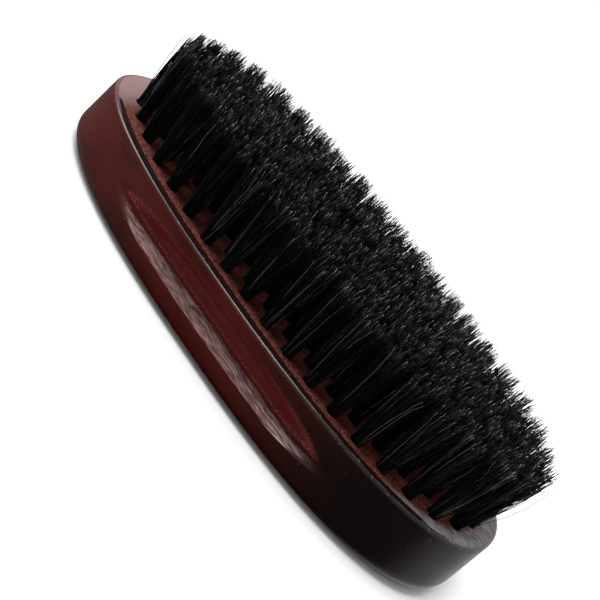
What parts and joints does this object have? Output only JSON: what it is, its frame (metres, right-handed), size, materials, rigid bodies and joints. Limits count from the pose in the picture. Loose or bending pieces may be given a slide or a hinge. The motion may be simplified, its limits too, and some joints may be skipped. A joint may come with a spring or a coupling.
{
  "type": "beard brush",
  "caption": "Oval one-piece wooden palm brush with a finger scoop along each long side and a dense field of black natural bristle tufts for beards.",
  "frame": {"origin": "middle of the flat back of the wooden body, on the surface it rests on", "axes": "+X along the length of the oval, +Y across it, +Z from the back towards the bristle tips"},
  "size_m": [0.125, 0.0608, 0.0324],
  "materials": {
    "lacquered_wood": "dark mahogany-red lacquer, satin gloss, on a matte sanded bristle face",
    "bristle": "black natural hair, satin sheen",
    "anchor_wire": "bare flat wire"
  },
  "bodies": {
    "root": {"brush_body": "lacquered_wood", "tuft_outer_01": "bristle", "tuft_outer_02": "bristle", "tuft_outer_03": "bristle", "tuft_outer_04": "bristle", "tuft_outer_05": "bristle", "tuft_outer_06": "bristle", "tuft_outer_07": "bristle", "tuft_outer_08": "bristle", "tuft_outer_09": "bristle", "tuft_outer_10": "bristle", "tuft_outer_11": "bristle", "tuft_outer_12": "bristle", "tuft_outer_13": "bristle", "tuft_outer_14": "bristle", "tuft_outer_15": "bristle", "tuft_outer_16": "bristle", "tuft_outer_17": "bristle", "tuft_outer_18": "bristle", "tuft_outer_19": "bristle", "tuft_outer_20": "bristle", "tuft_outer_21": "bristle", "tuft_outer_22": "bristle", "tuft_outer_23": "bristle", "tuft_outer_24": "bristle", "tuft_outer_25": "bristle", "tuft_outer_26": "bristle", "tuft_outer_27": "bristle", "tuft_outer_28": "bristle", "tuft_outer_29": "bristle", "tuft_outer_30": "bristle", "tuft_outer_31": "bristle", "tuft_outer_32": "bristle", "tuft_outer_33": "bristle", "tuft_outer_34": "bristle", "tuft_outer_35": "bristle", "tuft_outer_36": "bristle", "tuft_outer_37": "bristle", "tuft_outer_38": "bristle", "tuft_outer_39": "bristle", "tuft_outer_40": "bristle", "bristle_ring_2": "bristle", "bristle_ring_3": "bristle", "bristle_ring_4": "bristle", "bristle_ring_5": "bristle", "anchor_01": "anchor_wire", "anchor_02": "anchor_wire", "anchor_03": "anchor_wire", "anchor_04": "anchor_wire", "anchor_05": "anchor_wire", "anchor_06": "anchor_wire", "anchor_07": "anchor_wire", "anchor_08": "anchor_wire", "anchor_09": "anchor_wire", "anchor_10": "anchor_wire", "anchor_11": "anchor_wire", "anchor_12": "anchor_wire", "anchor_13": "anchor_wire", "anchor_14": "anchor_wire", "anchor_15": "anchor_wire"}
  },
  "joints": []
}
